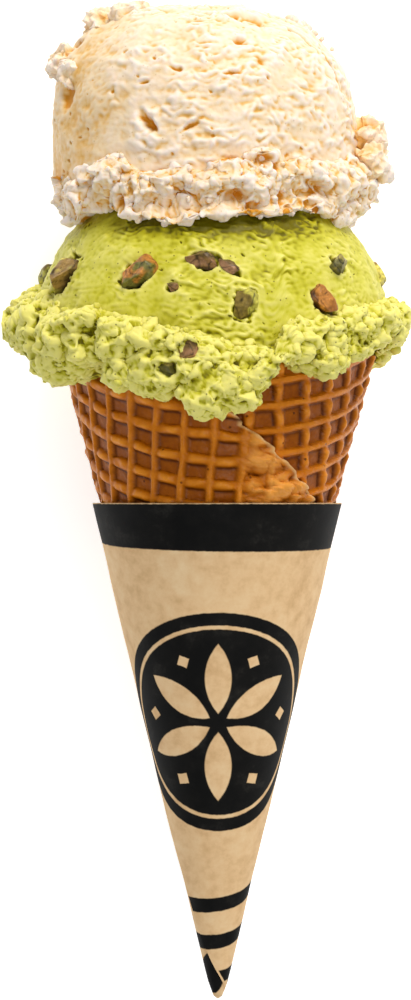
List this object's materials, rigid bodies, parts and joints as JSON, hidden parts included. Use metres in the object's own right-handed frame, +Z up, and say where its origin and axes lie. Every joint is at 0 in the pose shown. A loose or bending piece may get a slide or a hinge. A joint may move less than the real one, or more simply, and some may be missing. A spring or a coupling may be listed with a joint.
{
  "type": "ice cream cone",
  "caption": "Ice cream cone lying on its back: a vanilla scoop on a pistachio nut scoop in a rolled waffle cone with a printed paper sleeve.",
  "frame": {"origin": "under the middle of the whole cone, on the surface that it lies on", "axes": "+Y along the cone's level axis from the tip to the scoops, +Z up towards the shown front, +X to the right with the scoops at the top of the picture"},
  "size_m": [0.0858, 0.2082, 0.0796],
  "materials": {
    "vanilla_ice_cream": "churned vanilla ice cream, torn and grainy, with a soft moist sheen",
    "pistachio_ice_cream": "pale green pistachio ice cream with chopped pistachio nut pieces, torn and moist",
    "baked_wafer": "baked sugar wafer with a pressed grid, satin and caramel brown",
    "kraft_paper": "unbleached kraft paper with a dark matt print"
  },
  "bodies": {
    "root": {"vanilla_scoop": "vanilla_ice_cream", "pistachio_scoop": "pistachio_ice_cream", "waffle_cone": "baked_wafer", "paper_sleeve": "kraft_paper"}
  },
  "joints": []
}
